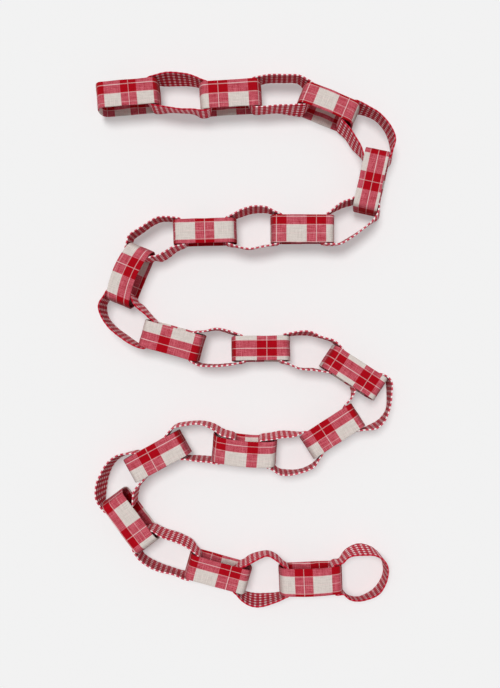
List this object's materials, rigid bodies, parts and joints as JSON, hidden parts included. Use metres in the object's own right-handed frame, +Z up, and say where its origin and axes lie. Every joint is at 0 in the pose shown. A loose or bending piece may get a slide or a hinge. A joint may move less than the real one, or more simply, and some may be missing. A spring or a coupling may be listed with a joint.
{
  "type": "cloth chain garland",
  "caption": "Chain garland of interlinked cloth loops: wide flat links of checked cotton alternate with narrow upright links of gingham, laid out in an open zigzag.",
  "frame": {"origin": "on the floor under the middle of the laid-out garland", "axes": "+Z up from the floor; +Y to the garland's top end, where the chain starts; +X to its free ring's side"},
  "size_m": [0.3644, 0.6434, 0.0386],
  "materials": {
    "check_cotton": "woven cotton, large red and ecru check",
    "gingham_cotton": "woven cotton, small red and white gingham"
  },
  "bodies": {
    "root": {"check_link_01": "check_cotton", "check_link_02": "check_cotton", "check_link_03": "check_cotton", "check_link_04": "check_cotton", "check_link_05": "check_cotton", "check_link_06": "check_cotton", "check_link_07": "check_cotton", "check_link_08": "check_cotton", "check_link_09": "check_cotton", "check_link_10": "check_cotton", "check_link_11": "check_cotton", "check_link_12": "check_cotton", "check_link_13": "check_cotton", "check_link_14": "check_cotton", "check_link_15": "check_cotton", "check_link_16": "check_cotton", "gingham_link_01": "gingham_cotton", "gingham_link_02": "gingham_cotton", "gingham_link_03": "gingham_cotton", "gingham_link_04": "gingham_cotton", "gingham_link_05": "gingham_cotton", "gingham_link_06": "gingham_cotton", "gingham_link_07": "gingham_cotton", "gingham_link_08": "gingham_cotton", "gingham_link_09": "gingham_cotton", "gingham_link_10": "gingham_cotton", "gingham_link_11": "gingham_cotton", "gingham_link_12": "gingham_cotton", "gingham_link_13": "gingham_cotton", "gingham_link_14": "gingham_cotton", "gingham_link_15": "gingham_cotton", "gingham_link_16": "gingham_cotton"}
  },
  "joints": []
}
